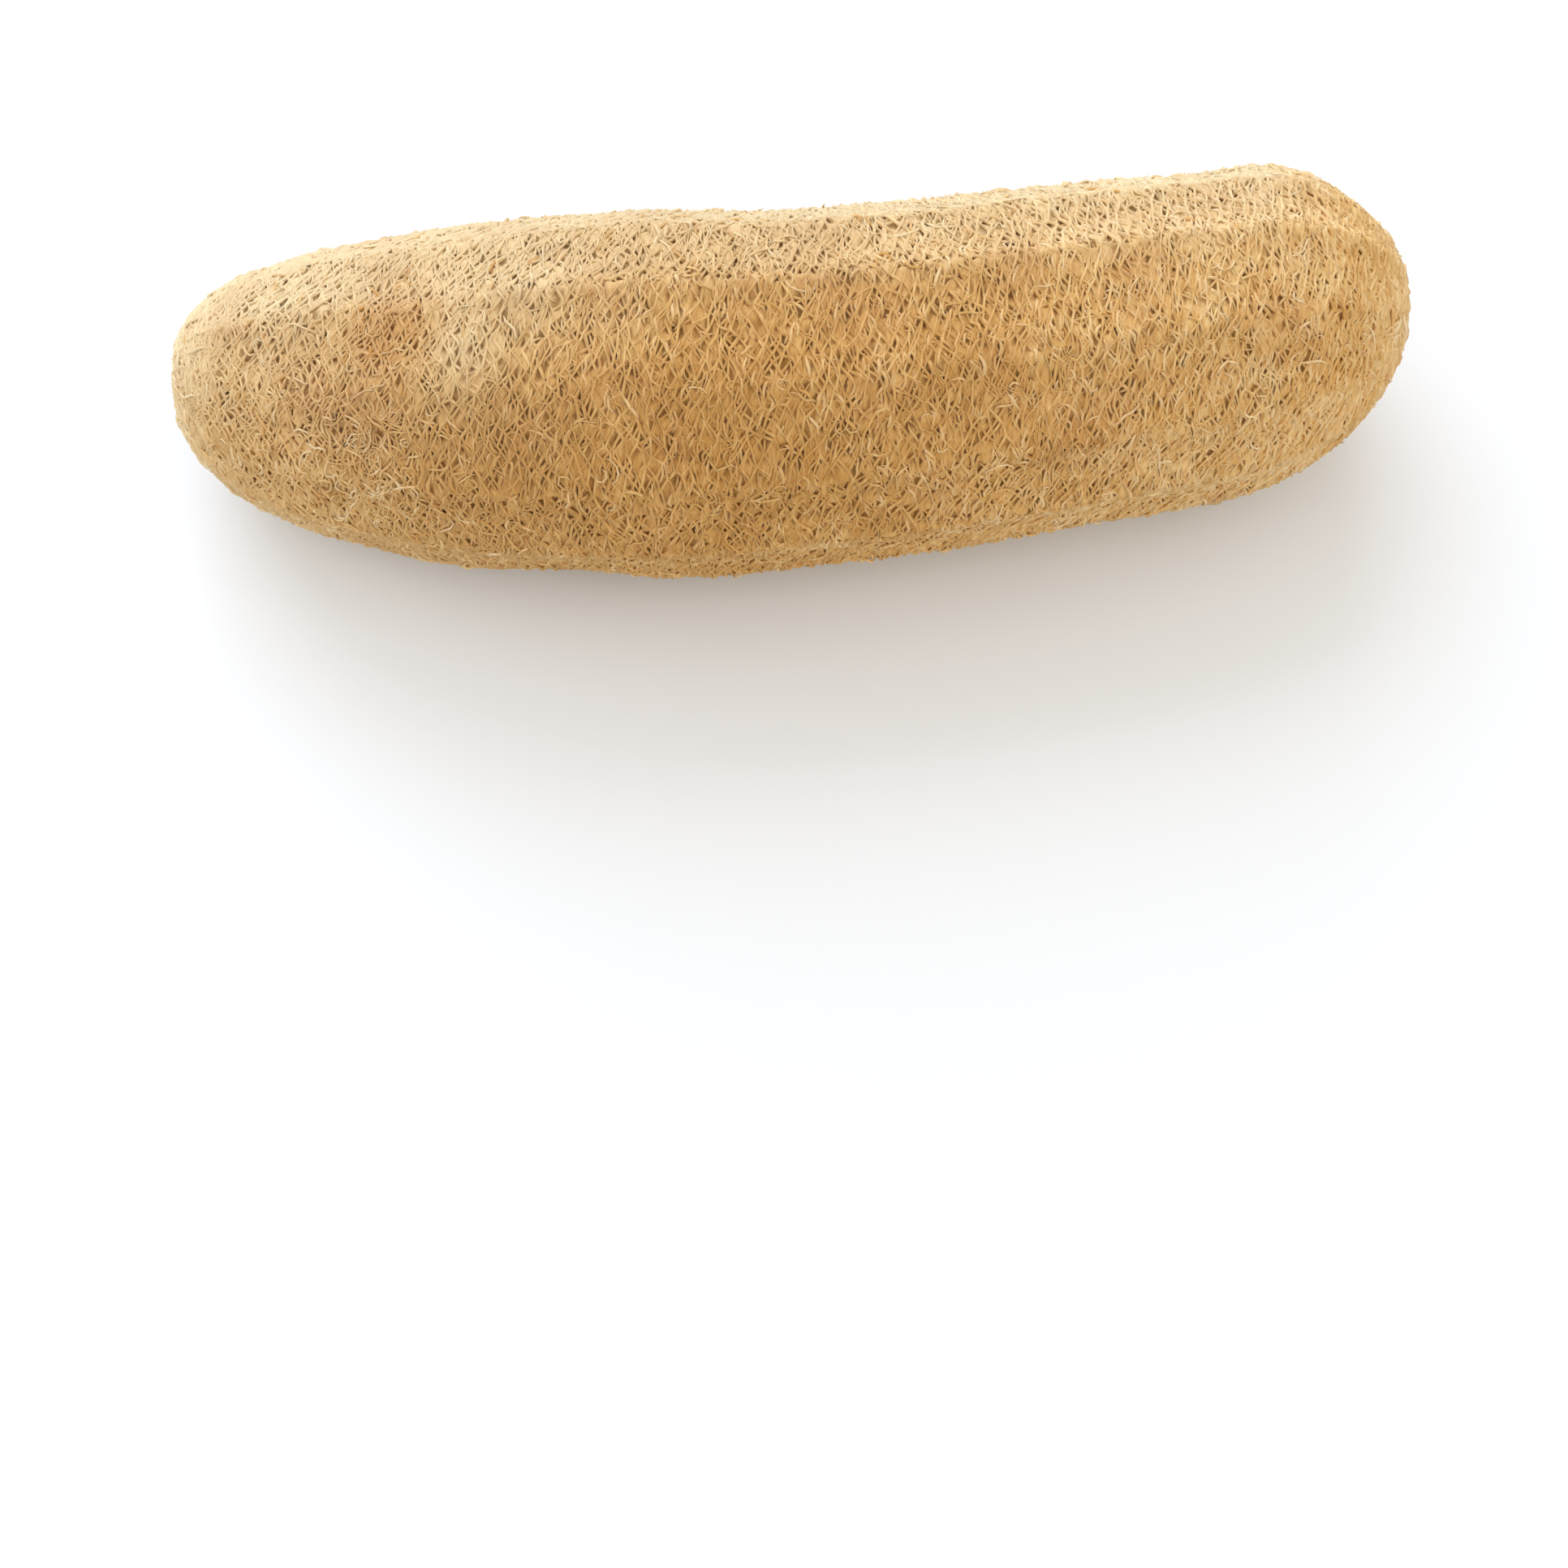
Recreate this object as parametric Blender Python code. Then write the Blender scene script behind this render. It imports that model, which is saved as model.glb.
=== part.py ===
"""A whole natural loofah sponge, lying on a table.

The real thing is one piece: the dried net of plant fibres that is left when the skin and the pulp
of a loofah gourd are washed away. It is a long, slightly bent body with a narrow stem end (-X) and
a blunt blossom end (+X), low ribs along it, a scar at each tip, and a net of raised fibres all over
that runs round the body more than along it.

Units are metres, +Z is up, and the origin is on the table under the middle of the sponge.
"""

import math
import random

import bmesh
import bpy
import numpy as np
from mathutils import Vector, noise

MM = 0.001

# Driving dimensions
LENGTH = 298 * MM
NECK_AT = 24 * MM
NECK_RADIUS = 30.6 * MM
BELLY_AT = 116 * MM
BELLY_RADIUS = 42.0 * MM
SHOULDER_AT = 251 * MM
SHOULDER_RADIUS = 38.1 * MM

# Rounded ends: each is a quarter of a superellipse, this long and this square
STEM_CAP = 39 * MM
STEM_SQUARENESS = 2.1
BLOSSOM_CAP = 48 * MM
BLOSSOM_SQUARENESS = 2.0

# The bends: on the far side of each of these points the body swings towards the back (+Y)
BLOSSOM_BEND_AT = 144 * MM
BLOSSOM_BEND_SPREAD = 15 * MM
BLOSSOM_BEND_SLOPE = 0.16
STEM_BEND_AT = 70 * MM
STEM_BEND_SPREAD = 8 * MM
STEM_BEND_SLOPE = 0.115

# How far the middle line follows the body's thickness, so that the underside lies nearly level
DROOP = 0.7
PRESSED_FLAT = 3.0 * MM

# Rib crests, in degrees round the body from the top towards the back
RIB_CRESTS = (9, 37, 66, 96, 129, 164, 196, 224, 250, 275, 303, 336)
RIB_HEIGHT = 2.1 * MM
RIB_NARROWNESS = 2
RIB_TWIST = 5
RIB_SHARE_AT_STEM = 0.4
RIB_FULL_FROM = 180 * MM

# Shallow hollows and swellings: distance from the stem end, degrees round, radius, height
SWELLINGS = (
    (60 * MM, 10, 13 * MM, -2.6 * MM),
    (79 * MM, -3, 11 * MM, 1.3 * MM),
    (30 * MM, -20, 13 * MM, -1.6 * MM),
    (160 * MM, 128, 24 * MM, -2.0 * MM),
    (215 * MM, 215, 20 * MM, -1.6 * MM),
    (94 * MM, 250, 18 * MM, -1.8 * MM),
    (272 * MM, 64, 16 * MM, 2.2 * MM),
)
UNEVENNESS = 0.9 * MM
UNEVENNESS_SPAN = 34 * MM

# Scars where the stem and the flower came away
STEM_SCAR_RADIUS = 7.5 * MM
STEM_SCAR_DEPTH = 4.5 * MM
BLOSSOM_SCAR_RADIUS = 8 * MM
BLOSSOM_SCAR_DEPTH = 2.5 * MM

# The raised net, drawn larger than life: lens-shaped meshes, longer round the body than along it
MESHES_ROUND = 20
MESHES_ALONG = 68
MESH_JITTER = 0.30
FIBRE_RISE = 0.35 * MM
PIT_DEPTH = 1.3 * MM
PIT_UNEVENNESS = 0.5 * MM
PIT_UNEVENNESS_SPAN = 7 * MM
OUTLINE_STEPS = 600
SEED = 41

STRAW = (0.66, 0.43, 0.19, 1.0)
FIBRE_ROUGHNESS = 0.85


def clear_scene():
    """Remove whatever the scene holds."""
    for leftover in list(bpy.data.objects):
        bpy.data.objects.remove(leftover)


def end_rounding(along):
    """Share of the full girth that is left this far along, 0 at either tip."""
    from_stem = 1 - min(along / STEM_CAP, 1)
    from_blossom = 1 - min((LENGTH - along) / BLOSSOM_CAP, 1)
    stem = (1 - from_stem**STEM_SQUARENESS) ** (1 / STEM_SQUARENESS)
    blossom = (1 - from_blossom**BLOSSOM_SQUARENESS) ** (1 / BLOSSOM_SQUARENESS)
    return stem * blossom


def girth(along):
    """Radius of the body before its ends are rounded: it swells from neck to belly, then tapers."""
    if along < BELLY_AT:
        share = max(along - NECK_AT, 0) / (BELLY_AT - NECK_AT)
        return NECK_RADIUS + (BELLY_RADIUS - NECK_RADIUS) * math.sin(share * math.pi / 2)
    share = (along - BELLY_AT) / (SHOULDER_AT - BELLY_AT)
    return BELLY_RADIUS + (SHOULDER_RADIUS - BELLY_RADIUS) * share


def bend(distance, spread, slope):
    """Side shift past a soft bend: none before it, then rising evenly with the distance past it."""
    return slope * spread * math.log1p(math.exp(distance / spread))


def middle_line(along):
    """Side shift and height of the body's middle line."""
    side = bend(along - BLOSSOM_BEND_AT, BLOSSOM_BEND_SPREAD, BLOSSOM_BEND_SLOPE)
    side += bend(STEM_BEND_AT - along, STEM_BEND_SPREAD, STEM_BEND_SLOPE)
    height = DROOP * (girth(along) - BELLY_RADIUS)
    return side, height


def rib_relief(along, around):
    """Height of the ribs: crests with nearly flat sides between, strongest on the blossom half."""
    degrees = (math.degrees(around) - RIB_TWIST * (along / LENGTH - 0.5)) % 360
    crests = (RIB_CRESTS[-1] - 360,) + RIB_CRESTS + (RIB_CRESTS[0] + 360,)
    below = max(crest for crest in crests if crest <= degrees)
    above = min(crest for crest in crests if crest > degrees)
    share = (degrees - below) / (above - below)
    crest_shape = abs(2 * share - 1) ** RIB_NARROWNESS
    strength = RIB_SHARE_AT_STEM + (1 - RIB_SHARE_AT_STEM) * min(along / RIB_FULL_FROM, 1)
    return RIB_HEIGHT * strength * crest_shape


def swelling_relief(along, around):
    """Height of the single hollows and swellings, and of the body's gentle unevenness."""
    height = 0
    for centre, degrees, radius, rise in SWELLINGS:
        turn = math.remainder(around - math.radians(degrees), 2 * math.pi)
        distance = math.hypot(along - centre, turn * girth(along))
        height += rise * math.exp(-((distance / radius) ** 2))
    place = Vector((along, girth(along) * math.sin(around), girth(along) * math.cos(around)))
    return height + UNEVENNESS * noise.noise(place / UNEVENNESS_SPAN)


def scar_pull(radius, scar_radius, depth):
    """How far the surface is drawn in at a tip, this far from the middle line."""
    return depth * math.exp(-((radius / scar_radius) ** 4))


def body_point(along, around):
    """Point of the body's surface, along from the stem end and round from the top towards the back."""
    rounding = end_rounding(along)
    relief = rib_relief(along, around) + swelling_relief(along, around)
    radius = rounding * (girth(along) + relief)
    side, height = middle_line(along)
    if along < LENGTH / 2:
        drawn_in = scar_pull(radius, STEM_SCAR_RADIUS, STEM_SCAR_DEPTH)
    else:
        drawn_in = -scar_pull(radius, BLOSSOM_SCAR_RADIUS, BLOSSOM_SCAR_DEPTH)
    return Vector(
        (
            along + drawn_in,
            side + radius * math.sin(around),
            height + radius * math.cos(around),
        )
    )


def even_stations():
    """Distances along the body and the share of the outline, tip to tip, passed at each."""
    along = LENGTH * (0.5 - 0.5 * np.cos(np.linspace(0, np.pi, OUTLINE_STEPS)))
    radius = np.array([end_rounding(x) * girth(x) for x in along])
    outline = np.concatenate(([0], np.cumsum(np.hypot(np.diff(along), np.diff(radius)))))
    return along, outline / outline[-1]


def fibre_lattice():
    """A ball covered with lens-shaped faces: each edge of a UV sphere becomes the middle of one."""
    lattice = bmesh.new()
    bmesh.ops.create_uvsphere(
        lattice, u_segments=MESHES_ROUND, v_segments=MESHES_ALONG, radius=1
    )
    sphere_edges = list(lattice.edges)
    bmesh.ops.poke(lattice, faces=list(lattice.faces))
    bmesh.ops.dissolve_edges(lattice, edges=sphere_edges, use_verts=False)
    return lattice


def wrap_on_body(lattice):
    """Move the lattice from the ball to the body, with the crossings shifted off their even rows."""
    along_steps, outline_steps = even_stations()
    for crossing in lattice.verts:
        outline = math.acos(max(-1, min(1, crossing.co.normalized().z))) / math.pi
        around = math.atan2(crossing.co.y, crossing.co.x)
        row = round(outline * MESHES_ALONG * 2)
        column = round(around / math.pi * MESHES_ROUND) % (2 * MESHES_ROUND)
        rise = 0
        if 0 < row < 2 * MESHES_ALONG:
            dice = random.Random(f"{SEED} {row} {column}")
            outline += dice.uniform(-MESH_JITTER, MESH_JITTER) / MESHES_ALONG / 2
            around += dice.uniform(-MESH_JITTER, MESH_JITTER) * math.pi / MESHES_ROUND
            rise = dice.uniform(0, FIBRE_RISE)
        along = float(np.interp(outline, outline_steps, along_steps))
        skin = body_point(along, around)
        side, height = middle_line(along)
        outwards = (skin - Vector((skin.x, side, height))).normalized()
        crossing.co = skin + outwards * rise


def sink_pits(lattice):
    """Push the middle of each mesh of the net inwards, so that its edges stand up as fibres."""
    lattice.normal_update()
    poked = bmesh.ops.poke(lattice, faces=list(lattice.faces), offset=-PIT_DEPTH)
    lattice.normal_update()
    for pit in poked["verts"]:
        pit.co += pit.normal * PIT_UNEVENNESS * noise.noise(pit.co / PIT_UNEVENNESS_SPAN)


def set_on_table(lattice):
    """Centre the body over the origin and press its lowest fibres flat on the table."""
    corners = [[getattr(v.co, axis) for v in lattice.verts] for axis in "xyz"]
    low = Vector(min(side) for side in corners)
    high = Vector(max(side) for side in corners)
    middle = (low + high) / 2
    shift = Vector((-middle.x, -middle.y, -low.z - PRESSED_FLAT))
    bmesh.ops.translate(lattice, verts=list(lattice.verts), vec=shift)
    for fibre in lattice.verts:
        fibre.co.z = max(fibre.co.z, 0)


def dried_fibre():
    """Dried plant fibre: straw-coloured and dull."""
    material = bpy.data.materials.new("dried_loofah_fibre")
    material.use_nodes = True
    material.diffuse_color = STRAW
    shader = material.node_tree.nodes["Principled BSDF"]
    shader.inputs["Base Color"].default_value = STRAW
    shader.inputs["Roughness"].default_value = FIBRE_ROUGHNESS
    shader.inputs["Metallic"].default_value = 0.0
    return material


def make_loofah(collection):
    """The whole sponge, one closed body."""
    lattice = fibre_lattice()
    wrap_on_body(lattice)
    sink_pits(lattice)
    set_on_table(lattice)
    mesh = bpy.data.meshes.new("loofah")
    lattice.to_mesh(mesh)
    lattice.free()
    loofah = bpy.data.objects.new("loofah", mesh)
    loofah.data.materials.append(dried_fibre())
    collection.objects.link(loofah)
    return loofah


def main():
    clear_scene()
    collection = bpy.data.collections.new("Natural loofah sponge")
    bpy.context.scene.collection.children.link(collection)
    make_loofah(collection)


main()
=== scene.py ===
"""The looks of a whole natural loofah sponge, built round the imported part.

Everything is in metres, +Z is up, and the sponge lies on z = 0 with its stem end at -X.
"""

import math

import bmesh
import bpy
import numpy as np
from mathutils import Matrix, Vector, noise


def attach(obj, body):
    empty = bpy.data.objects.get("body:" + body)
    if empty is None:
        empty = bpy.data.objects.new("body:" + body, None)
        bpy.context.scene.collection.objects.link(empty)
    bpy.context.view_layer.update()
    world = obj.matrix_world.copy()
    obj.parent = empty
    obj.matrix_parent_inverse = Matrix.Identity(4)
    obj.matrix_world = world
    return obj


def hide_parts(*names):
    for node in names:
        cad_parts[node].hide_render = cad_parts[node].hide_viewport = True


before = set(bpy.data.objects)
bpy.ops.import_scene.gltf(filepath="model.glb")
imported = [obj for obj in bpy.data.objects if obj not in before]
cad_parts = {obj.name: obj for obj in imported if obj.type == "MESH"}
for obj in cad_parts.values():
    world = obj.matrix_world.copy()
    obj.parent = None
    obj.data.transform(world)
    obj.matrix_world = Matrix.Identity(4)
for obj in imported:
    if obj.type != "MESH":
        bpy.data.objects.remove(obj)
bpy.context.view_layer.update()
MM = 0.001

# The felt of fine fibres that fills the sponge
# A loofah gourd grows long and slightly bent, with low ribs from end to end. What is left after the
# skin and pulp are washed out is a spongy felt of fine fibres in that form, pressed level below.
LENGTH = 298 * MM
NECK_AT = 24 * MM
NECK_RADIUS = 30.6 * MM
BELLY_AT = 116 * MM
BELLY_RADIUS = 42 * MM
SHOULDER_AT = 251 * MM
SHOULDER_RADIUS = 38.1 * MM
STEM_CAP = 39 * MM
STEM_SQUARENESS = 2.1
BLOSSOM_CAP = 48 * MM
BLOSSOM_SQUARENESS = 2.0
# where each bend sets in, over what length, and its slope beyond
BLOSSOM_BEND = (144 * MM, 15 * MM, 0.16)
STEM_BEND = (70 * MM, 8 * MM, 0.115)
DROOP = 0.7
PRESSED_FLAT = 3.0 * MM
# degrees round the body: 0 is the top, and 90 the side that the body bends towards
RIB_CRESTS = np.array((9, 37, 66, 96, 129, 164, 196, 224, 250, 275, 303, 336))
RIB_HEIGHTS = np.array((2.4, 1.9, 2.1, 2.1, 2.1, 2.1, 2.1, 2.1, 2.1, 2.1, 1.9, 1.2)) * MM
RIB_NARROWNESS = 2
RIB_TWIST = 5
RIB_SHARE_AT_STEM = 0.4
RIB_FULL_FROM = 180 * MM
SWELLINGS = (
    # distance along, degrees round, radius, height
    (60 * MM, 10, 13 * MM, -2.6 * MM),
    (79 * MM, -3, 11 * MM, 1.3 * MM),
    (30 * MM, -20, 13 * MM, -1.6 * MM),
    (160 * MM, 128, 24 * MM, -2.0 * MM),
    (215 * MM, 215, 20 * MM, -1.6 * MM),
    (94 * MM, 250, 18 * MM, -1.8 * MM),
    (272 * MM, 64, 16 * MM, 2.2 * MM),
)
UNEVENNESS = 0.9 * MM
UNEVENNESS_SPAN = 34 * MM
STEM_SCAR_RADIUS = 7.5 * MM
STEM_SCAR_DEPTH = 4.5 * MM
BLOSSOM_SCAR_RADIUS = 8 * MM
BLOSSOM_SCAR_DEPTH = 2.5 * MM
SCAR_STEEPNESS = 4
# rows and columns of the tables that hold the surface
SKIN_ROWS = 500
SKIN_COLUMNS = 360
# faces of the felt round and along the body, its depth under the surface, its lumps and pits
FELT_ROUND = 250
FELT_ALONG = 390
FELT_DEPTH = 0.42 * MM
FELT_LUMP_SPANS = np.array((1.3, 2.2, 2.2)) * MM
FELT_LUMP_HEIGHT = 0.4 * MM
FELT_PIT_SPANS = np.array((1.8, 2.6, 2.6)) * MM
FELT_PIT_SHIFT = 1.0  # sets the pits' pattern apart from the lumps'
FELT_PIT_FROM = 0.03
FELT_PIT_OVER = 0.3
FELT_PIT_DEPTH = 0.95 * MM
FELT_LOWEST = 0.6 * MM
# the felt's pits are given a darker tone: painted shade in the hollows
PIT_PAINTED_SHADE = -0.03


def end_rounding(along):
    """Share of the full girth that is left this far along, 0 at either tip."""
    from_stem = 1 - np.minimum(along / STEM_CAP, 1)
    from_blossom = 1 - np.minimum((LENGTH - along) / BLOSSOM_CAP, 1)
    stem = (1 - from_stem**STEM_SQUARENESS) ** (1 / STEM_SQUARENESS)
    blossom = (1 - from_blossom**BLOSSOM_SQUARENESS) ** (1 / BLOSSOM_SQUARENESS)
    return stem * blossom


def girth(along):
    """Radius of the body before its ends are rounded: it swells from neck to belly, then tapers."""
    to_belly = np.clip((along - NECK_AT) / (BELLY_AT - NECK_AT), 0, 1)
    swell = NECK_RADIUS + (BELLY_RADIUS - NECK_RADIUS) * np.sin(to_belly * np.pi / 2)
    past_belly = np.maximum((along - BELLY_AT) / (SHOULDER_AT - BELLY_AT), 0)
    return swell + (SHOULDER_RADIUS - BELLY_RADIUS) * past_belly


def bend(distance, spread, slope):
    """Side shift past a soft bend: none before it, then rising evenly with the distance past it."""
    return slope * spread * np.log1p(np.exp(distance / spread))


def rib_relief(along, around):
    """Height of the ribs: crests with nearly flat sides between, strongest on the blossom half."""
    degrees = (np.degrees(around) - RIB_TWIST * (along / LENGTH - 0.5)) % 360
    crests = np.concatenate((RIB_CRESTS[-1:] - 360, RIB_CRESTS, RIB_CRESTS[:1] + 360))
    heights = np.concatenate((RIB_HEIGHTS[-1:], RIB_HEIGHTS, RIB_HEIGHTS[:1]))
    above = np.searchsorted(crests, degrees, side="right")
    share = (degrees - crests[above - 1]) / (crests[above] - crests[above - 1])
    crest_shape = heights[above - (share < 0.5)] * np.abs(2 * share - 1) ** RIB_NARROWNESS
    strength = RIB_SHARE_AT_STEM + (1 - RIB_SHARE_AT_STEM) * np.minimum(along / RIB_FULL_FROM, 1)
    return strength * crest_shape


def unevenness(places, span):
    """Smooth random heights, about -1 to 1, that change over this span."""
    heights = [noise.noise(Vector(place)) for place in places.reshape(-1, 3) / span]
    return np.array(heights).reshape(places.shape[:-1])


def swelling_relief(along, around):
    """Height of the single hollows and swellings, and of the body's gentle unevenness."""
    height = np.zeros(along.shape)
    for centre, degrees, radius, rise in SWELLINGS:
        turn = (around - math.radians(degrees) + np.pi) % (2 * np.pi) - np.pi
        distance = np.hypot(along - centre, turn * girth(along))
        height += rise * np.exp(-((distance / radius) ** 2))
    places = np.stack((along, girth(along) * np.sin(around), girth(along) * np.cos(around)), -1)
    return height + UNEVENNESS * unevenness(places, UNEVENNESS_SPAN)


def skin_tables():
    """Points of the body's surface, its outward directions and its radius, by outline and angle."""
    steps = LENGTH * (0.5 - 0.5 * np.cos(np.linspace(0, np.pi, SKIN_ROWS)))
    outline = np.concatenate(
        ([0], np.cumsum(np.hypot(np.diff(steps), np.diff(end_rounding(steps) * girth(steps)))))
    )
    shares = np.linspace(0, 1, SKIN_ROWS)
    along = np.interp(shares, outline / outline[-1], steps)[:, None] * np.ones(SKIN_COLUMNS)
    around = np.linspace(0, 2 * np.pi, SKIN_COLUMNS, endpoint=False) * np.ones((SKIN_ROWS, 1))
    relief = rib_relief(along, around) + swelling_relief(along, around)
    radius = end_rounding(along) * (girth(along) + relief)
    stem_pull = STEM_SCAR_DEPTH * np.exp(-((radius / STEM_SCAR_RADIUS) ** SCAR_STEEPNESS))
    blossom_pull = BLOSSOM_SCAR_DEPTH * np.exp(-((radius / BLOSSOM_SCAR_RADIUS) ** SCAR_STEEPNESS))
    drawn_in = np.where(along < LENGTH / 2, stem_pull, -blossom_pull)
    side = bend(along - BLOSSOM_BEND[0], *BLOSSOM_BEND[1:])
    side += bend(STEM_BEND[0] - along, *STEM_BEND[1:])
    height = DROOP * (girth(along) - BELLY_RADIUS)
    points = np.stack(
        (along + drawn_in, side + radius * np.sin(around), height + radius * np.cos(around)), -1
    )
    low, high = points.min((0, 1)), points.max((0, 1))
    middle = (low + high) / 2
    points -= (middle[0], middle[1], low[2] + PRESSED_FLAT)
    wrapped = np.concatenate((points[:, -1:], points, points[:, :1]), 1)
    down_outline = np.gradient(points, axis=0)
    round_body = np.gradient(wrapped, axis=1)[:, 1:-1]
    outwards = np.cross(down_outline, round_body)
    outwards[0] = (-1, 0, 0)
    outwards[-1] = (1, 0, 0)
    outwards /= np.linalg.norm(outwards, axis=2, keepdims=True)
    return points, outwards, radius.mean(1), outline[-1]


skin_points, skin_outwards, skin_radius, outline_length = skin_tables()
skin_middle = skin_points.mean(1)


def on_table(table, outline, around):
    """Values of a skin table this far down the outline (0 to 1) and round the body (radians)."""
    row = np.clip(outline, 0, 1) * (SKIN_ROWS - 1)
    upper = np.minimum(row.astype(int), SKIN_ROWS - 2)
    row_share = (row - upper)[..., None]
    column = (around / (2 * np.pi)) % 1 * SKIN_COLUMNS
    left = np.floor(column).astype(int)
    column_share = (column - left)[..., None]
    left, right = left % SKIN_COLUMNS, (left + 1) % SKIN_COLUMNS
    above = table[upper, left] * (1 - column_share) + table[upper, right] * column_share
    below = table[upper + 1, left] * (1 - column_share) + table[upper + 1, right] * column_share
    return above * (1 - row_share) + below * row_share


def on_skin(outline, around, height):
    """Points this far down the outline, round the body and over its surface."""
    outwards = on_table(skin_outwards, outline, around)
    return on_table(skin_points, outline, around) + height[..., None] * outwards


def ball_angles(mesh):
    """Each vertex of a ball as its share of the way from pole to pole and its angle round it."""
    places = np.array([v.co.normalized() for v in mesh.verts])
    outline = np.arccos(np.clip(places[:, 2], -1, 1)) / np.pi
    return outline, np.arctan2(places[:, 1], places[:, 0])


def move_vertices(mesh, places, lowest):
    """Put the vertices at these places, none of them lower than the given height."""
    places[:, 2] = np.maximum(places[:, 2], lowest)
    for vertex, place in zip(mesh.verts, places):
        vertex.co = place


# spans of the tone's streaks along X, Y and Z, and of its cloudy patches
STREAK_SPANS = (0.9 * MM, 4 * MM, 4 * MM)
CLOUD_SPAN = 25 * MM
CLOUD_SHARE = 0.35
TONES_AT = (0.33, 0.5, 0.67)
# the felt's tones are darker than those of the fibres laid over it: painted shade of the deeper
# layer
FELT_TONES = ("#BE8D44", "#D3A763", "#E2C084")
# cream of sun bleaching, also laid on as painted highlight
BLEACH_AND_HIGHLIGHT_CREAM = "#E3D5B4"
BROWNED = "#B67C4B"
# width and depth of the grooves between fibres, and the length of all of them
FELT_GROOVE = (0.55 * MM, 0.6 * MM)
FIBRE_GROOVE = (0.3 * MM, 0.09 * MM)
GROOVE_LENGTH = 2.4 * MM
GROOVE_STRENGTH = 0.6
# roughness and sheen: the felt's fine fibres scatter the light, so it hardly shines
FELT_FINISH = (0.9, 0.1)
SHEEN_ROUGHNESS = 0.4
SHEEN_TINT = "#FFF6DE"


def linear(hex_colour):
    """An sRGB hex colour as linear red, green, blue and alpha."""
    values = [int(hex_colour[i : i + 2], 16) / 255 for i in (1, 3, 5)]
    return [v / 12.92 if v <= 0.04045 else ((v + 0.055) / 1.055) ** 2.4 for v in values] + [1.0]


def add_node(tree, kind, settings, inputs):
    """One shader node with its settings, and with its inputs set or linked."""
    made = tree.nodes.new(kind)
    for name, value in settings.items():
        setattr(made, name, value)
    for name, value in inputs.items():
        if isinstance(value, bpy.types.NodeSocket):
            tree.links.new(value, made.inputs[name])
        else:
            made.inputs[name].default_value = value
    return made


def stretched_noise(tree, place, spans, detail):
    """A noise that changes over these spans along X, Y and Z."""
    stretched = add_node(
        tree,
        "ShaderNodeMapping",
        {},
        {"Vector": place, "Scale": [1 / span for span in spans]},
    )
    texture = add_node(
        tree,
        "ShaderNodeTexNoise",
        {},
        {"Vector": stretched.outputs[0], "Scale": 1.0, "Detail": detail},
    )
    return texture.outputs["Fac"]


def laid_over(tree, colour, hex_colour, share):
    """The colour with this share of another one over it."""
    mixed = add_node(
        tree,
        "ShaderNodeMix",
        {"data_type": "RGBA"},
        {"Factor": share, "A": colour, "B": linear(hex_colour)},
    )
    return mixed.outputs["Result"]


def fibre_material(name, tones, roughness, sheen, groove=FIBRE_GROOVE):
    """Dried cellulose fibre, washed and paled by the sun: dull, with a faint silky sheen.

    The eye reads single fibres by their tone, so the tone changes in streaks that run round the
    body, about 1 mm wide and 4 mm long, over broad cloudy patches some 25 mm across. It is paler
    and less yellow where the sun paled it and where cream is laid on as painted highlight, on the
    side that faces the key light, and browner at the scars. Grooves along the fibres, of the given
    width and depth, break up the highlight and let the felt read as fibres.
    """
    material = bpy.data.materials.new(name)
    material.use_nodes = True
    tree = material.node_tree
    shader = tree.nodes["Principled BSDF"]
    place = add_node(tree, "ShaderNodeTexCoord", {}, {}).outputs["Object"]
    streaks = stretched_noise(tree, place, STREAK_SPANS, 2.0)
    clouds = add_node(
        tree,
        "ShaderNodeTexNoise",
        {},
        {"Vector": place, "Scale": 1 / CLOUD_SPAN, "Detail": 3.0},
    )
    tone = add_node(
        tree,
        "ShaderNodeMix",
        {"data_type": "FLOAT"},
        {"Factor": CLOUD_SHARE, "A": streaks, "B": clouds.outputs["Fac"]},
    )
    # shares of bleaching with painted highlight, of paleness and of browning, kept on the mesh
    attribute = add_node(tree, "ShaderNodeAttribute", {"attribute_name": "weathering_and_painted_light"}, {})
    shares = add_node(tree, "ShaderNodeSeparateXYZ", {}, {"Vector": attribute.outputs["Vector"]})
    paler = add_node(
        tree,
        "ShaderNodeMath",
        {"operation": "ADD"},
        {0: tone.outputs["Result"], 1: shares.outputs["Y"]},
    )
    fibre = add_node(tree, "ShaderNodeValToRGB", {}, {"Fac": paler.outputs[0]})
    stops = fibre.color_ramp.elements
    stops.new(TONES_AT[1])
    for stop, position, hex_colour in zip(stops, TONES_AT, tones):
        stop.position = position
        stop.color = linear(hex_colour)
    # cream laid on where the sun paled the fibre, and as painted highlight where the body faces the
    # key light
    with_bleach_and_highlight = laid_over(tree, fibre.outputs["Color"], BLEACH_AND_HIGHLIGHT_CREAM, shares.outputs["X"])
    aged = laid_over(tree, with_bleach_and_highlight, BROWNED, shares.outputs["Z"])
    tree.links.new(aged, shader.inputs["Base Color"])
    width, depth = groove
    grooves = stretched_noise(tree, place, (width, GROOVE_LENGTH, GROOVE_LENGTH), 1.0)
    relief = add_node(
        tree,
        "ShaderNodeBump",
        {},
        {"Height": grooves, "Strength": GROOVE_STRENGTH, "Distance": depth},
    )
    tree.links.new(relief.outputs["Normal"], shader.inputs["Normal"])
    shader.inputs["Roughness"].default_value = roughness
    shader.inputs["Sheen Weight"].default_value = sheen
    shader.inputs["Sheen Roughness"].default_value = SHEEN_ROUGHNESS
    shader.inputs["Sheen Tint"].default_value = linear(SHEEN_TINT)
    return material


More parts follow.
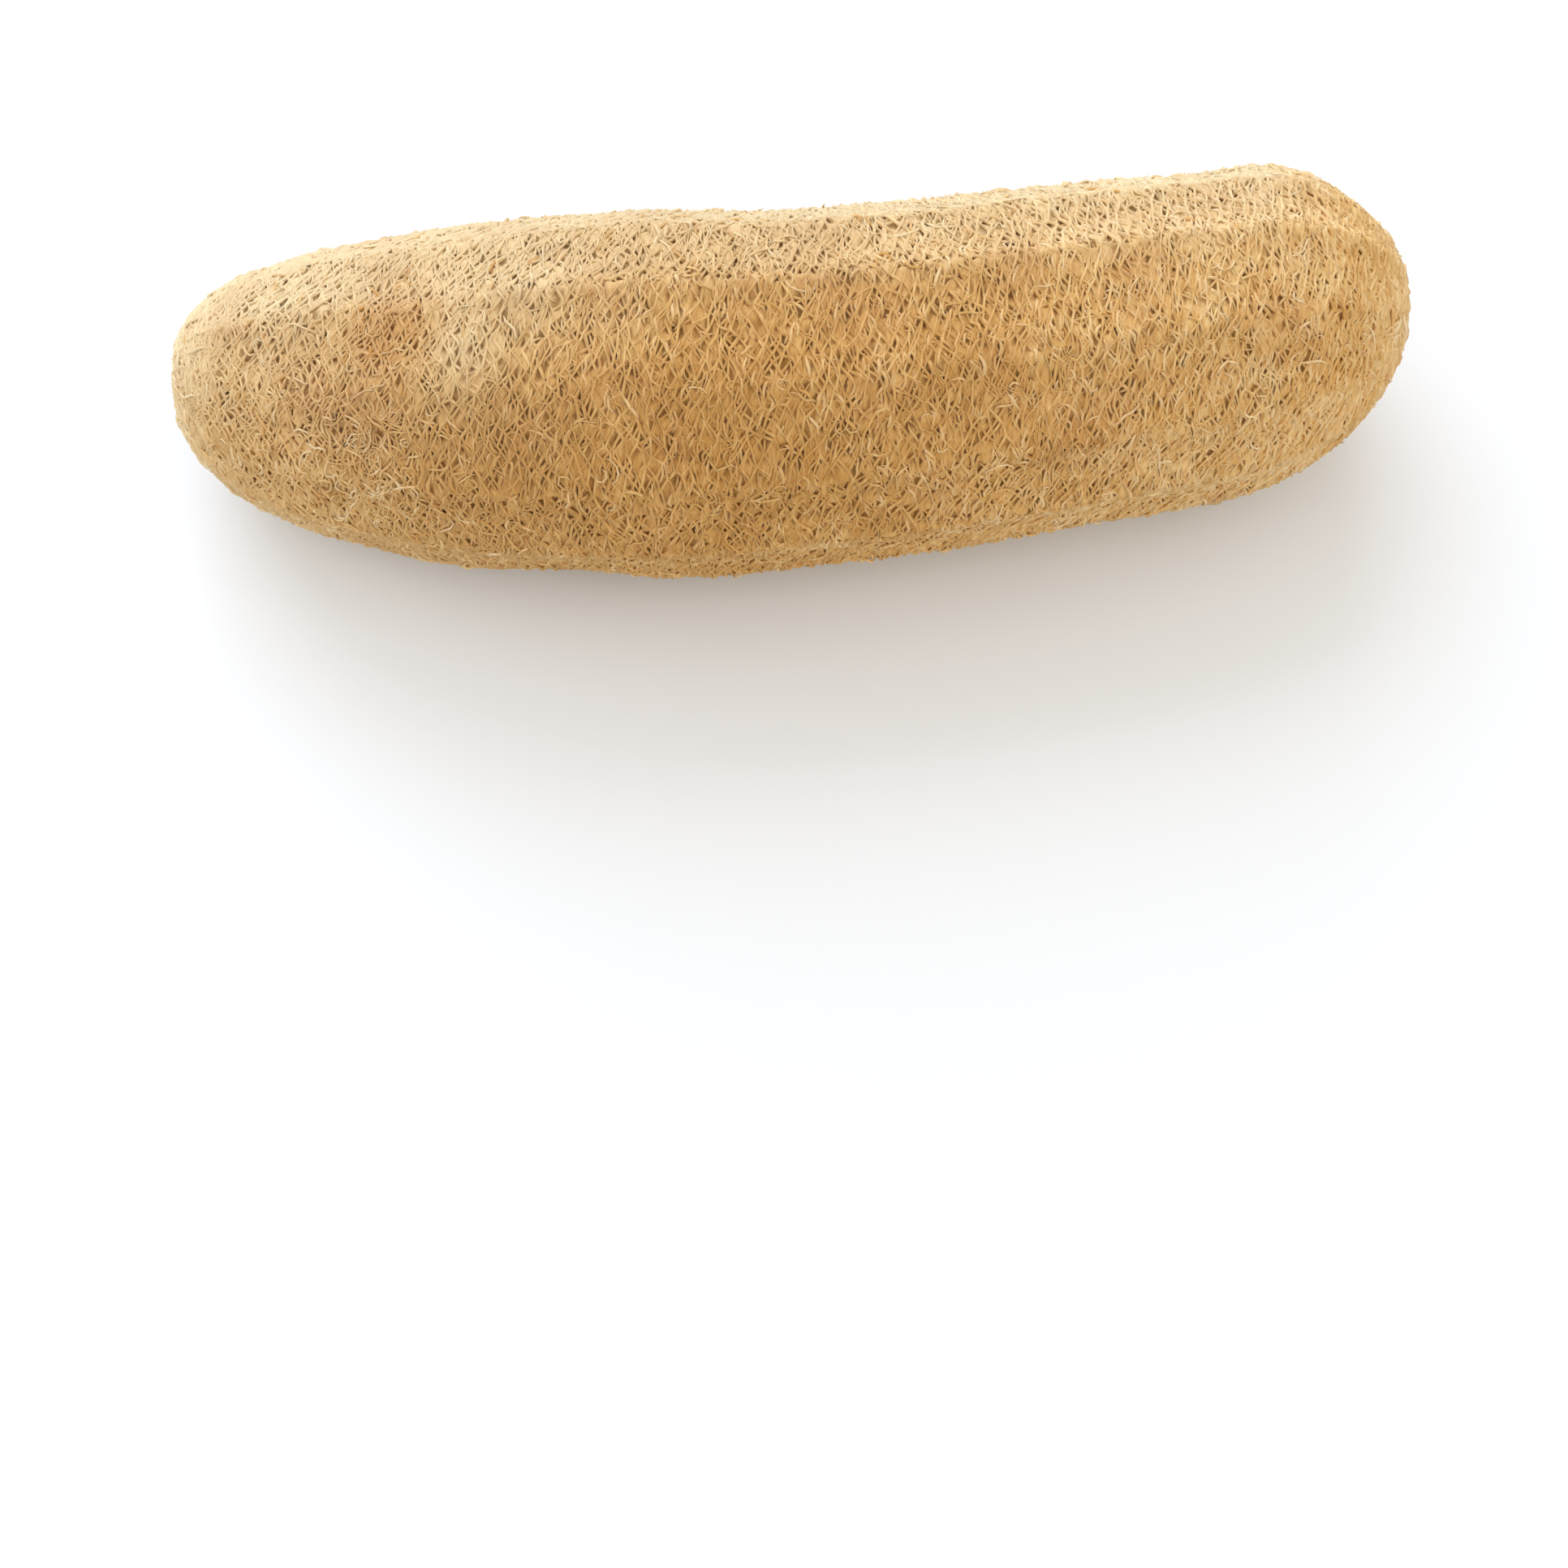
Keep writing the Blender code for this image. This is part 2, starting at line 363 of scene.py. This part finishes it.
# shares of bleaching and of painted highlight by degrees round the body, most on the far side of
# the top, which faces the key light
BLEACH_AND_HIGHLIGHT_DEGREES = (-180, -60, -10, 5, 15, 35, 50, 70, 100, 140, 180)
BLEACH_AND_HIGHLIGHT_SHARES = (0.05, 0.05, 0.08, 0.14, 0.40, 0.51, 0.70, 0.75, 0.55, 0.1, 0.05)
# and what the stem end has beyond them, bleaching and a painted glow of light, less and less over
# this stretch
STEM_BLEACH_AND_HIGHLIGHT_DEGREES = (-180, -120, -90, -55, -15, 20, 60, 120, 180)
STEM_BLEACH_AND_HIGHLIGHT_SHARES = (0.1, 0.25, 0.17, 0.15, 0.34, 0.32, 0.09, 0.0, 0.1)
STEM_BLEACH_AND_HIGHLIGHT_X = (-130 * MM, -30 * MM)
# the blossom end loses up to this share of it over this stretch
BLOSSOM_LESS_BLEACH_AND_HIGHLIGHT_X = (110 * MM, 136 * MM)
BLOSSOM_LESS_BLEACH_AND_HIGHLIGHT_MOST = 0.8
BLEACH_AND_HIGHLIGHT_MOST = 0.72
# how much more bleaching and painted highlight a pale fibre gets, as a multiple of its tone shift
BLEACH_AND_HIGHLIGHT_OF_PALE = 4
PALENESS_X = np.array((-147, -110, -60, -20, 30, 70, 110, 147)) * MM
PALENESS = (0.02, -0.03, -0.11, -0.11, -0.05, 0.04, 0.08, 0.07)
# span of the clumps of paler and darker fibres, and how much they add
CLUMPS = ((4.5 * MM, 0.09), (10 * MM, 0.05))
BROWNED_SHARE = 0.12
BROWNED_SPAN = 17 * MM
BROWNED_CONTRAST = 3
BROWNED_FROM = 0.3
# single patches: share of the way down the outline, degrees round, radius, share to add
BROWNED_PATCHES = (
    (0.165, -30, 15 * MM, 0.18),
    (0.234, 2, 10 * MM, 0.14),
    (0.0, 0, 5 * MM, 0.5),
    (0.048, -22, 3 * MM, 0.3),
    (0.062, 18, 3 * MM, 0.25),
    (0.105, 4, 5 * MM, 0.2),
    (1.0, 0, 6 * MM, 0.4),
)
PALE_PATCHES = (
    (0.238, 0, 11 * MM, -0.20),
    (0.275, -8, 10 * MM, 0.18),
    (0.196, 2, 9 * MM, 0.06),
    (0.130, -8, 8 * MM, -0.06),
    (0.268, -36, 16 * MM, -0.09),
)
# patches of bleaching and painted highlight, the largest on the stem tip
BLEACH_AND_HIGHLIGHT_PATCHES = (
    (0.0, 0, 19 * MM, 0.45),
    (0.238, 2, 11 * MM, -0.14),
    (0.270, 4, 9 * MM, 0.17),
    (0.276, -12, 9 * MM, 0.32),
    (0.320, 5, 11 * MM, 0.22),
    (0.150, 12, 12 * MM, 0.12),
    (0.380, -2, 9 * MM, 0.12),
    (1.0, 0, 26 * MM, 0.15),
)


def weathering_and_painted_light(places, tone_shifts_and_pit_shade):
    """What sun and age did at each place, and the painted light: shares of bleaching with painted
    highlight, of paleness and of browning.

    The far side of the top, which faces the key light, and the stem end get the most cream: partly
    sun bleaching, partly painted highlight. The blossom half is paler and the middle of the stem
    half darker, and the scars and some cloudy patches are browner. Clumps and single patches differ
    from what lies round them, and a tone shift makes a single fibre paler or darker, or makes the
    felt's pits darker as painted shade.
    """
    middle_y = np.interp(places[:, 0], skin_middle[:, 0], skin_middle[:, 1])
    middle_z = np.interp(places[:, 0], skin_middle[:, 0], skin_middle[:, 2])
    degrees = np.degrees(np.arctan2(places[:, 1] - middle_y, places[:, 2] - middle_z))
    # bleaching and painted highlight by the angle round the body
    bleach_and_highlight = np.interp(degrees, BLEACH_AND_HIGHLIGHT_DEGREES, BLEACH_AND_HIGHLIGHT_SHARES)
    near_blossom = (places[:, 0] - BLOSSOM_LESS_BLEACH_AND_HIGHLIGHT_X[0]) / np.ptp(BLOSSOM_LESS_BLEACH_AND_HIGHLIGHT_X)
    bleach_and_highlight *= 1 - np.clip(near_blossom, 0, BLOSSOM_LESS_BLEACH_AND_HIGHLIGHT_MOST)
    near_stem = 1 - np.clip((places[:, 0] - STEM_BLEACH_AND_HIGHLIGHT_X[0]) / np.ptp(STEM_BLEACH_AND_HIGHLIGHT_X), 0, 1)
    bleach_and_highlight += near_stem * np.interp(degrees, STEM_BLEACH_AND_HIGHLIGHT_DEGREES, STEM_BLEACH_AND_HIGHLIGHT_SHARES)
    bleach_and_highlight *= 1 + BLEACH_AND_HIGHLIGHT_OF_PALE * tone_shifts_and_pit_shade
    paleness = np.interp(places[:, 0], PALENESS_X, PALENESS) + tone_shifts_and_pit_shade
    for span, share in CLUMPS:
        paleness += share * unevenness(places, span)
    cloudiness = BROWNED_CONTRAST * unevenness(places, BROWNED_SPAN) - BROWNED_FROM
    browned = BROWNED_SHARE * np.clip(cloudiness, 0, 1)
    for shares, patches in (
        (bleach_and_highlight, BLEACH_AND_HIGHLIGHT_PATCHES),
        (paleness, PALE_PATCHES),
        (browned, BROWNED_PATCHES),
    ):
        for outline, round_body, radius, share in patches:
            centre = on_skin(np.array([outline]), np.radians([round_body]), np.zeros(1))
            distance = np.linalg.norm(places - centre, axis=1)
            shares += share * np.exp(-((distance / radius) ** 2))
    return np.stack((np.clip(bleach_and_highlight, 0, BLEACH_AND_HIGHLIGHT_MOST), paleness, browned), -1)


def add_piece(name, mesh, material, tone_shifts_and_pit_shade=0):
    """The finished mesh as a smooth piece of the sponge, which rides on its one body."""
    data = bpy.data.meshes.new(name)
    mesh.to_mesh(data)
    mesh.free()
    data.shade_smooth()
    places = np.empty(len(data.vertices) * 3)
    data.vertices.foreach_get("co", places)
    # bleaching with painted highlight, paleness and browning at each vertex, and painted shade in
    # the felt's pits
    shares = data.attributes.new("weathering_and_painted_light", "FLOAT_VECTOR", "POINT")
    shares.data.foreach_set("vector", weathering_and_painted_light(places.reshape(-1, 3), tone_shifts_and_pit_shade).ravel())
    data.materials.append(material)
    piece = bpy.data.objects.new(name, data)
    bpy.context.scene.collection.objects.link(piece)
    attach(piece, "root")
    return piece


felt = bmesh.new()
bmesh.ops.create_uvsphere(felt, u_segments=FELT_ROUND, v_segments=FELT_ALONG, radius=1)
felt_outline, felt_around = ball_angles(felt)
felt_places = on_skin(felt_outline, felt_around, np.zeros(len(felt_outline)))
felt_lumps = unevenness(felt_places, FELT_LUMP_SPANS)
felt_pits = -unevenness(felt_places + FELT_PIT_SHIFT, FELT_PIT_SPANS) - FELT_PIT_FROM
felt_pits = np.clip(felt_pits / FELT_PIT_OVER, 0, 1)
felt_height = FELT_LUMP_HEIGHT * felt_lumps - FELT_PIT_DEPTH * felt_pits - FELT_DEPTH
move_vertices(felt, on_skin(felt_outline, felt_around, felt_height), FELT_LOWEST)
bmesh.ops.recalc_face_normals(felt, faces=list(felt.faces))
felt_material = fibre_material("dried_loofah_felt", FELT_TONES, *FELT_FINISH, FELT_GROOVE)
# a darker tone in the pits: painted shade
fibre_felt = add_piece("fibre_felt", felt, felt_material, PIT_PAINTED_SHADE * felt_pits)
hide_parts("loofah")

# The nets over the felt
# The thick fibres grew branched and joined into nets, one over the other, sunk into the felt. Their
# meshes are long and narrow and lie round the body. Each net is one mesh of joined round fibres.
NETS = (
    # name, meshes round, meshes along, seed, height, height spread, fibre thickness, share missing
    ("inner_net", 50, 112, 12, -0.55 * MM, 0.20 * MM, 1.10 * MM, 0.06),
    ("outer_net", 44, 132, 13, -0.35 * MM, 0.22 * MM, 1.05 * MM, 0.10),
)
# the inner net's tones are darker than the outer net's, and both a little darker than the surface
# fibres': painted shade that deepens with depth
NET_TONES = {
    "inner_net": ("#C4934A", "#D8AB67", "#E6C48B"),
    "outer_net": ("#C99950", "#DDB26E", "#EBCB95"),
}
# roughness and sheen: thick fibres have a smoother skin than the felt
NET_FINISH = (0.8, 0.18)
CROSSING_JITTER = 0.36
NET_WANDER = 2.0 * MM
NET_WANDER_SPAN = 7 * MM
LEAST_SWAY_RADIUS = 12 * MM
NARROWEST_MESH = 2.6 * MM
MISSING_MOST = 0.75
TIP_RADIUS = 0.5 * MM
# lean of the fibres by share of the outline, and the angle round the body where it is greatest
LEAN_AT = (0.0, 0.12, 0.25, 0.45, 0.62, 0.85, 1.0)
LEANS = np.radians((0, 28, 18, 0, -18, -20, 0))
LEAN_TURN = math.radians(40)


def net_lattice(meshes_round, meshes_along):
    """A ball covered with lens-shaped faces: each edge of a UV sphere becomes the middle of one."""
    net = bmesh.new()
    bmesh.ops.create_uvsphere(net, u_segments=meshes_round, v_segments=meshes_along, radius=1)
    sphere_edges = list(net.edges)
    bmesh.ops.poke(net, faces=list(net.faces))
    bmesh.ops.dissolve_edges(net, edges=sphere_edges, use_verts=False)
    return net


def lean(outline, around):
    """Slope of a strand that runs round: greatest near the top and turned round underneath."""
    return np.interp(outline, LEAN_AT, LEANS) * np.cos(around - LEAN_TURN)


def radius_at(outline):
    """Mean radius of the body this far down its outline, with some left at the very tips."""
    return np.interp(outline, np.linspace(0, 1, SKIN_ROWS), skin_radius) + TIP_RADIUS


def make_net(meshes_round, meshes_along, seed, height, spread, thickness, missing):
    """A net of round fibres on the body. Near the tips, where meshes crowd, more are missing."""
    net = net_lattice(meshes_round, meshes_along)
    outline, around = ball_angles(net)
    rows = np.rint(outline * meshes_along * 2).astype(int)
    columns = np.rint(around / np.pi * meshes_round).astype(int) % (2 * meshes_round)
    dice = np.random.default_rng(seed)
    jitter = dice.uniform(-1, 1, (3, 2 * meshes_along + 1, 2 * meshes_round))
    slide, turn, lift = jitter[:, rows, columns]
    resting = on_skin(outline, around, np.zeros(len(rows)))
    drift = NET_WANDER * unevenness(resting + seed, NET_WANDER_SPAN)
    sway = NET_WANDER * unevenness(resting - seed, NET_WANDER_SPAN)
    free = (rows > 0) & (rows < 2 * meshes_along)
    radius = radius_at(outline)
    # a quarter turn back, since the slope of what this adds is the lean itself
    leaning = radius * lean(outline, around - np.pi / 2)
    slide = slide * CROSSING_JITTER / meshes_along / 2 + (drift + leaning) / outline_length
    turn = turn * CROSSING_JITTER * np.pi / meshes_round
    turn = turn + sway / np.maximum(radius, LEAST_SWAY_RADIUS)
    places = on_skin(
        np.clip(outline + free * slide, 0, 1), around + free * turn, height + spread * lift
    )
    crowding = 1 - 2 * np.pi * radius / meshes_round / NARROWEST_MESH
    gone = missing + (MISSING_MOST - missing) * np.clip(crowding, 0, 1)
    # the sums of an edge's rows and of its columns pick its number from this table
    fate = dice.uniform(0, 1, (4 * meshes_along + 2, 4 * meshes_round))
    net.verts.index_update()
    dropped = []
    for edge in net.edges:
        one, other = (v.index for v in edge.verts)
        row = rows[one] + rows[other]
        column = (columns[one] + columns[other]) % (4 * meshes_round)
        if fate[row, column] < gone[one]:
            dropped.append(edge)
    move_vertices(net, places, thickness)
    bmesh.ops.dissolve_edges(net, edges=dropped, use_verts=False)
    net.normal_update()
    bmesh.ops.wireframe(
        net,
        faces=list(net.faces),
        thickness=thickness,
        use_replace=True,
        use_boundary=True,
        use_even_offset=False,
    )
    return net


for net_name, *shape in NETS:
    net_material = fibre_material(f"dried_loofah_{net_name}", NET_TONES[net_name], *NET_FINISH)
    add_piece(net_name, make_net(*shape), net_material)

# The surface fibres
# On top of the nets lie the last fibres that ran under the skin: short bent lengths that come up
# out of the net for some 5 mm, run mostly round the body and dive under again where they join it.
SURFACE_FIBRES = 5600
SURFACE_SEED = 21
SURFACE_FIBRE_LENGTHS = (3.5 * MM, 7 * MM)
SURFACE_FIBRE_SLANT = math.radians(22)
SURFACE_FIBRE_BEND = math.radians(34)
SURFACE_FIBRE_WAVE = math.radians(14)
SURFACE_FIBRE_TOPS = (-0.30 * MM, 0.05 * MM)
# how deep both ends dive, and how steeply
SURFACE_FIBRE_DIVE = (0.8 * MM, 2.5)
SURFACE_FIBRE_RADII = (0.42 * MM, 0.62 * MM)
SURFACE_TONES = ("#CA9A52", "#DEB471", "#EDCE9A")
# roughness and sheen: worn a little smoother than the nets
SURFACE_FINISH = (0.75, 0.22)
# every single fibre, also in the next sections: its mesh, its wave, how it thins to its ends
STRAND_SIDES = 3
STRAND_STEPS = 5
STRAND_ALONG = np.linspace(-1, 1, STRAND_STEPS + 1)
STRAND_WAVE = 4
STRAND_TAPER = 0.25
STRAND_TAPER_STEEPNESS = 3
STRAND_LOWEST = 0.1 * MM
STRAND_TONE_SPREAD = 0.09


def straight_strand():
    """One straight round fibre from z = -1 to z = 1, with rings of vertices along it."""
    strand = bmesh.new()
    bmesh.ops.create_cone(
        strand, cap_ends=True, segments=STRAND_SIDES, radius1=1, radius2=1, depth=2
    )
    lengthwise = [e for e in strand.edges if abs(e.verts[0].co.z - e.verts[1].co.z) > 1]
    bmesh.ops.subdivide_edges(strand, edges=lengthwise, cuts=STRAND_STEPS - 1)
    data = bpy.data.meshes.new("straight_strand")
    strand.to_mesh(data)
    strand.free()
    return data


def make_strands(outline, around, heading, bending, wave, lengths, heights, radius):
    """Fibres laid on the body, each a bent copy of a straight one with its middle at its place."""
    straight = straight_strand()
    strands = bmesh.new()
    for _ in outline:
        strands.from_mesh(straight)
    bpy.data.meshes.remove(straight)
    corners = np.array([v.co for v in strands.verts]).reshape(len(outline), -1, 3)
    direction = heading[:, None] + bending[:, None] * STRAND_ALONG
    direction = direction + wave[:, None] * np.sin(STRAND_WAVE * STRAND_ALONG)
    step = lengths[:, None] / STRAND_STEPS
    round_body = np.cumsum(np.cos(direction) * step, 1)
    down_outline = np.cumsum(np.sin(direction) * step, 1)
    round_body -= round_body.mean(1, keepdims=True)
    down_outline -= down_outline.mean(1, keepdims=True)
    path_outline = outline[:, None] + down_outline / outline_length
    path_around = around[:, None] + round_body / radius_at(path_outline)
    centres = on_skin(path_outline, path_around, heights)
    tangents = np.gradient(centres, axis=1)
    tangents /= np.linalg.norm(tangents, axis=2, keepdims=True)
    upwards = on_table(skin_outwards, path_outline, path_around)
    sideways = np.cross(upwards, tangents)
    sideways /= np.linalg.norm(sideways, axis=2, keepdims=True)
    upwards = np.cross(tangents, sideways)
    ring = np.rint((corners[..., 2] + 1) / 2 * STRAND_STEPS).astype(int)
    strand = np.arange(len(outline))[:, None]
    taper = STRAND_TAPER * np.abs(STRAND_ALONG[ring]) ** STRAND_TAPER_STEEPNESS
    width = radius[:, None] * (1 - taper)
    places = centres[strand, ring]
    places = places + sideways[strand, ring] * (corners[..., 0] * width)[..., None]
    places = places + upwards[strand, ring] * (corners[..., 1] * width)[..., None]
    move_vertices(strands, places.reshape(-1, 3), STRAND_LOWEST)
    return strands


def diving(tops, depth, steepness):
    """Heights along fibres that bow up to these tops and dive into the net at both ends."""
    return tops - depth * np.abs(STRAND_ALONG) ** steepness


def strand_tones(count, dice):
    """A tone shift for each fibre, the same at all of its vertices."""
    corners = STRAND_SIDES * (STRAND_STEPS + 1)
    return np.repeat(dice.normal(0, STRAND_TONE_SPREAD, count), corners)


def spread_over_body(count, dice):
    """Random places, evenly spread over the body's area: shares of the outline and angles round."""
    shares = np.linspace(0, 1, SKIN_ROWS)
    area = np.concatenate(([0], np.cumsum((skin_radius[1:] + skin_radius[:-1]) / 2)))
    outline = np.interp(dice.uniform(0, area[-1], count), area, shares)
    return outline, dice.uniform(0, 2 * np.pi, count)


surface_dice = np.random.default_rng(SURFACE_SEED)
surface_tops = surface_dice.uniform(*SURFACE_FIBRE_TOPS, (SURFACE_FIBRES, 1))
surface_outline, surface_around = spread_over_body(SURFACE_FIBRES, surface_dice)
surface_slant = surface_dice.normal(0, SURFACE_FIBRE_SLANT, SURFACE_FIBRES)
surface_fibres = make_strands(
    surface_outline,
    surface_around,
    surface_slant + lean(surface_outline, surface_around),
    surface_dice.normal(0, SURFACE_FIBRE_BEND, SURFACE_FIBRES),
    surface_dice.normal(0, SURFACE_FIBRE_WAVE, SURFACE_FIBRES),
    surface_dice.uniform(*SURFACE_FIBRE_LENGTHS, SURFACE_FIBRES),
    diving(surface_tops, *SURFACE_FIBRE_DIVE),
    surface_dice.uniform(*SURFACE_FIBRE_RADII, SURFACE_FIBRES),
)
surface_material = fibre_material("dried_loofah_surface_fibre", SURFACE_TONES, *SURFACE_FINISH)
surface_shifts = strand_tones(SURFACE_FIBRES, surface_dice)
add_piece("surface_fibres", surface_fibres, surface_material, surface_shifts)

# The curly fibres
# Single finer fibres that came loose from the net in washing: they curl over the surface in small
# arcs, one by one all over the sponge and in a thick tangle on its near side by the stem end.
CURLS_ALL_OVER = 420
TANGLE = 130
CURL_SEED = 31
# share of the outline and angle round, and how far the tangle spreads in both
TANGLE_PLACE = (0.209, math.radians(-54))
TANGLE_SPREAD = (0.024, math.radians(15))
CURL_LENGTHS = (5 * MM, 10 * MM)
CURL_BEND = math.radians(85)
CURL_WAVE = math.radians(25)
CURL_TOPS = (-0.15 * MM, 0.40 * MM)
CURL_DIVE = (0.8 * MM, 3)
CURL_RADII = (0.28 * MM, 0.42 * MM)
CURL_TONES = ("#D6AA64", "#E7C388", "#F2DBB2")
# roughness and sheen: the finest and cleanest fibres, so they catch the light most
CURL_FINISH = (0.7, 0.25)
curl_dice = np.random.default_rng(CURL_SEED)
curl_count = CURLS_ALL_OVER + TANGLE
curl_outline, curl_around = spread_over_body(CURLS_ALL_OVER, curl_dice)
tangle_outline = curl_dice.normal(TANGLE_PLACE[0], TANGLE_SPREAD[0], TANGLE)
tangle_around = curl_dice.normal(TANGLE_PLACE[1], TANGLE_SPREAD[1], TANGLE)
curls = make_strands(
    np.concatenate((curl_outline, tangle_outline)),
    np.concatenate((curl_around, tangle_around)),
    curl_dice.uniform(-np.pi, np.pi, curl_count),
    curl_dice.normal(0, CURL_BEND, curl_count),
    curl_dice.normal(0, CURL_WAVE, curl_count),
    curl_dice.uniform(*CURL_LENGTHS, curl_count),
    diving(curl_dice.uniform(*CURL_TOPS, (curl_count, 1)), *CURL_DIVE),
    curl_dice.uniform(*CURL_RADII, curl_count),
)
curl_material = fibre_material("dried_loofah_curly_fibre", CURL_TONES, *CURL_FINISH)
add_piece("curly_fibres", curls, curl_material, strand_tones(curl_count, curl_dice))

# The tip fibres
# At both tips the thick main fibres of the ribs come together: they run in towards the scar like
# spokes, and others run round the tip and tie them, so the net there is coarser.
TIP_SPOKES = 46
TIP_RINGS = 44
TIP_SEED = 51
# where along the outline their middles lie, counted from each tip
TIP_REACH = (0.012, 0.072)
SPOKE_LENGTHS = (7 * MM, 12 * MM)
RING_LENGTHS = (5 * MM, 11 * MM)
TIP_BEND = math.radians(16)
TIP_TOPS = (0.0, 0.35 * MM)
TIP_DIVE = (0.9 * MM, 2.5)
TIP_RADII = (0.42 * MM, 0.62 * MM)
tip_dice = np.random.default_rng(TIP_SEED)
tip_count = TIP_SPOKES + TIP_RINGS
tip_shares = tip_dice.uniform(*TIP_REACH, (2, tip_count))
tip_slants = np.repeat((np.pi / 2, 0.0), (TIP_SPOKES, TIP_RINGS))
tip_lengths = np.concatenate(
    (
        tip_dice.uniform(*SPOKE_LENGTHS, (2, TIP_SPOKES)),
        tip_dice.uniform(*RING_LENGTHS, (2, TIP_RINGS)),
    ),
    1,
)
tip_fibres = make_strands(
    np.concatenate((tip_shares[0], 1 - tip_shares[1])),
    tip_dice.uniform(0, 2 * np.pi, 2 * tip_count),
    np.tile(tip_slants, 2) + tip_dice.normal(0, TIP_BEND, 2 * tip_count),
    tip_dice.normal(0, TIP_BEND, 2 * tip_count),
    tip_dice.normal(0, TIP_BEND, 2 * tip_count),
    tip_lengths.ravel(),
    diving(tip_dice.uniform(*TIP_TOPS, (2 * tip_count, 1)), *TIP_DIVE),
    tip_dice.uniform(*TIP_RADII, 2 * tip_count),
)
tip_material = fibre_material("dried_loofah_tip_fibre", CURL_TONES, *SURFACE_FINISH)
add_piece("tip_fibres", tip_fibres, tip_material, strand_tones(2 * tip_count, tip_dice))

# The loose ends
# Torn tips of the fine fibres, 2 to 4 mm long. They are rooted in the net, stand up a little from
# it at one end and roughen its outline.
LOOSE_ENDS = 1500
LOOSE_SEED = 41
LOOSE_LENGTHS = (2 * MM, 4 * MM)
LOOSE_SLANT = 0.9  # radians
LOOSE_BEND = math.radians(40)
LOOSE_ROOT = -0.4 * MM
LOOSE_LIFTS = (0.4 * MM, 1.1 * MM)
LOOSE_STEEPNESS = 1.5
LOOSE_RADII = (0.16 * MM, 0.26 * MM)
loose_dice = np.random.default_rng(LOOSE_SEED)
loose_lift = loose_dice.uniform(*LOOSE_LIFTS, (LOOSE_ENDS, 1))
loose_rise = (STRAND_ALONG / 2 + 0.5) ** LOOSE_STEEPNESS
loose_ends = make_strands(
    *spread_over_body(LOOSE_ENDS, loose_dice),
    loose_dice.normal(0, LOOSE_SLANT, LOOSE_ENDS) + np.pi * loose_dice.integers(0, 2, LOOSE_ENDS),
    loose_dice.normal(0, LOOSE_BEND, LOOSE_ENDS),
    np.zeros(LOOSE_ENDS),
    loose_dice.uniform(*LOOSE_LENGTHS, LOOSE_ENDS),
    LOOSE_ROOT + loose_lift * loose_rise,
    loose_dice.uniform(*LOOSE_RADII, LOOSE_ENDS),
)
loose_material = fibre_material("dried_loofah_loose_end", CURL_TONES, *CURL_FINISH)
add_piece("loose_ends", loose_ends, loose_material)

# The stage
# A floor of white paper, broad cool daylight from behind, a warmer fill from the front right, a
# weak low light from the stem end, and a camera high over the near side.
FLOOR_SIZE = 6.0
FLOOR_COLOUR = "#E9F0FB"
FLOOR_ROUGHNESS = 0.95
SKY_COLOUR = "#FFF6E7"
SKY_STRENGTH = 0.83
LIGHTS = (
    # name, place, size, power in watts, colour
    ("key", (-0.5, 1.6, 1.0), 2.0, 35, "#EFF6FF"),
    ("fill", (1.4, -0.7, 1.5), 1.6, 10, "#FFF6EA"),
    ("side", (-1.2, 0.1, 0.45), 0.9, 5, "#F4F9FF"),
)
CAMERA_PLACE = (-0.0017, -0.2870, 0.6024)
CAMERA_ELEVATION = 72
# in millimetres, as Blender has them
CAMERA_LENS = 60
SENSOR_WIDTH = 36
floor_mesh = bmesh.new()
bmesh.ops.create_grid(floor_mesh, x_segments=1, y_segments=1, size=FLOOR_SIZE / 2)
floor_data = bpy.data.meshes.new("floor")
floor_mesh.to_mesh(floor_data)
floor_mesh.free()
floor = bpy.data.objects.new("floor", floor_data)
bpy.context.scene.collection.objects.link(floor)
# matt bleached paper: it throws soft light back up under the sponge
floor_material = bpy.data.materials.new("white_paper")
floor_material.use_nodes = True
floor_shader = floor_material.node_tree.nodes["Principled BSDF"]
floor_shader.inputs["Base Color"].default_value = linear(FLOOR_COLOUR)
floor_shader.inputs["Roughness"].default_value = FLOOR_ROUGHNESS
floor_data.materials.append(floor_material)

for light_name, place, size, power, colour in LIGHTS:
    light_data = bpy.data.lights.new(light_name, "AREA")
    light_data.size = size
    light_data.energy = power
    light_data.color = linear(colour)[:3]
    light = bpy.data.objects.new(light_name, light_data)
    light.location = place
    light.rotation_euler = (-Vector(place)).to_track_quat("-Z", "Y").to_euler()
    bpy.context.scene.collection.objects.link(light)

world = bpy.data.worlds.new("studio")
world.use_nodes = True
sky = world.node_tree.nodes["Background"]
sky.inputs["Color"].default_value = linear(SKY_COLOUR)
sky.inputs["Strength"].default_value = SKY_STRENGTH
bpy.context.scene.world = world
bpy.context.scene.view_settings.view_transform = "Standard"

camera_data = bpy.data.cameras.new("camera")
camera_data.lens = CAMERA_LENS
camera_data.sensor_width = SENSOR_WIDTH
camera = bpy.data.objects.new("camera", camera_data)
camera.location = CAMERA_PLACE
camera.rotation_euler = (math.radians(90 - CAMERA_ELEVATION), 0, 0)
bpy.context.scene.collection.objects.link(camera)
bpy.context.scene.camera = camera
